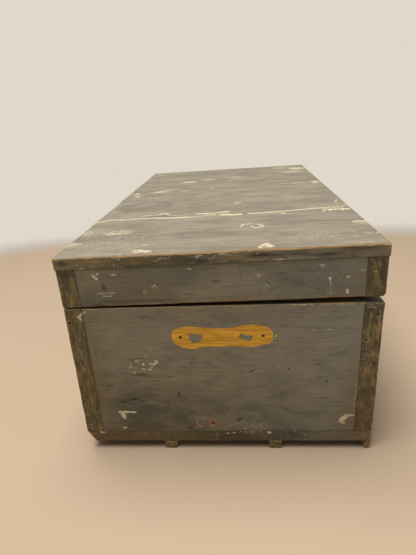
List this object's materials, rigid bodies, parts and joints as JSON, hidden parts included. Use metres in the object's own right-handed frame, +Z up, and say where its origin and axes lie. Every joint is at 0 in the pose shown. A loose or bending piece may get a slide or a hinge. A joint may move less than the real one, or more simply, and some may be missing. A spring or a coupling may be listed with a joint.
{
  "type": "wooden trunk",
  "caption": "Long low wooden trunk, grey painted, with a shallow hinged lid of cross boards, base runners, butt hinges, a hasp and an iron drop handle at the far end.",
  "frame": {"origin": "on the floor, at the middle of the trunk's footprint, with the far handle and the other fittings counted in", "axes": "+Z up; +Y along the trunk from the near end, which has lost its handle, to the far end; +X across it from the hinges to the opening side"},
  "size_m": [0.4736, 0.8222, 0.3368],
  "materials": {
    "painted_wood": "worn grey oil paint on pine boards, bare ochre wood at rubbed edges and chips",
    "runner_wood": "bare weathered pine",
    "nail_iron": "cut nails, painted over and rusted",
    "iron": "dark forged iron with a little rust"
  },
  "bodies": {
    "chest": {"near_end_board": "painted_wood", "far_end_board": "painted_wood", "hinge_side_board": "painted_wood", "opening_side_board": "painted_wood", "base_board_1": "painted_wood", "base_board_2": "painted_wood", "base_board_3": "painted_wood", "base_board_4": "painted_wood", "middle_runner_1": "runner_wood", "middle_runner_2": "runner_wood", "opening_side_runner": "runner_wood", "hinge_side_runner": "runner_wood", "wall_nails": "nail_iron", "base_nails": "nail_iron", "runner_nails": "nail_iron", "hinge_1_body_leaf": "iron", "hinge_1_pin": "iron", "hinge_2_body_leaf": "iron", "hinge_2_pin": "iron", "hinge_body_screws": "iron", "hasp_plate": "iron", "hasp_pin": "iron", "hasp_screws": "iron", "handle_plate": "iron", "handle_screws": "iron"},
    "lid": {"lid_near_rim": "painted_wood", "lid_far_rim": "painted_wood", "lid_hinge_rim": "painted_wood", "lid_opening_rim": "painted_wood", "lid_top_board_1": "painted_wood", "lid_top_board_2": "painted_wood", "lid_top_board_3": "painted_wood", "lid_top_board_4": "painted_wood", "lid_top_nails": "nail_iron", "lid_corner_nails": "nail_iron", "hinge_1_lid_leaf": "iron", "hinge_2_lid_leaf": "iron", "hinge_lid_screws": "iron", "staple": "iron"},
    "hasp_strap": {"hasp_strap": "iron"},
    "handle_bail": {"handle_bail": "iron"}
  },
  "joints": [
    {"name": "lid_hinge", "type": "hinge", "parent": "chest", "child": "lid", "pos_m": [-0.23, -0.00554, 0.25515], "axis": [0, -1, 0], "range_deg": [-0.7, 180]},
    {"name": "hasp_swing", "type": "hinge", "parent": "chest", "child": "hasp_strap", "pos_m": [0.2294, -0.00554, 0.2465], "axis": [0, -1, 0], "range_deg": [0, 180]},
    {"name": "bail_swing", "type": "hinge", "parent": "chest", "child": "handle_bail", "pos_m": [0, 0.40516, 0.2055], "axis": [1, 0, 0], "range_deg": [0, 180]}
  ]
}
